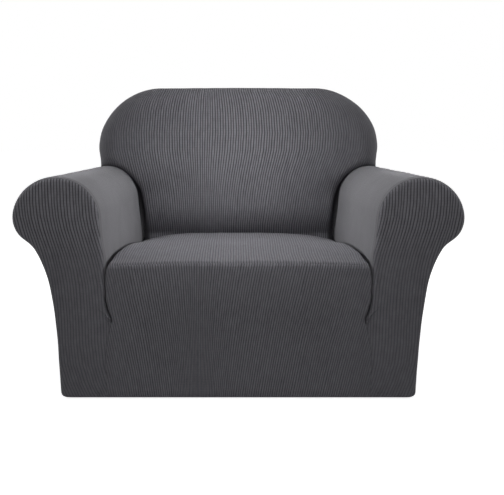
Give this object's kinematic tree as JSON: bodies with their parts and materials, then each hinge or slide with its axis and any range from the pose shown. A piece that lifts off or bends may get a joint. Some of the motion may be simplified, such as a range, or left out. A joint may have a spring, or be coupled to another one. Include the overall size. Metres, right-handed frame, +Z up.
{
  "type": "fitted armchair slipcover",
  "caption": "Fitted stretch slipcover in the shape of a wide roll-arm armchair: back, seat, skirt and rolled arms in ribbed cloth.",
  "frame": {"origin": "centre of the footprint at the height of the hem", "axes": "+Z up, the front of the chair faces -Y, +X to the right as seen from the front"},
  "size_m": [1.209, 0.88, 0.906],
  "materials": {
    "stretch_cloth": "charcoal grey stretch jacquard with fine raised ribs"
  },
  "bodies": {
    "root": {"back_inside": "stretch_cloth", "back_outside": "stretch_cloth", "seat_deck": "stretch_cloth", "front_apron": "stretch_cloth", "arm_wrap_left": "stretch_cloth", "arm_wrap_right": "stretch_cloth", "arm_front_left": "stretch_cloth", "arm_front_right": "stretch_cloth"}
  },
  "joints": []
}
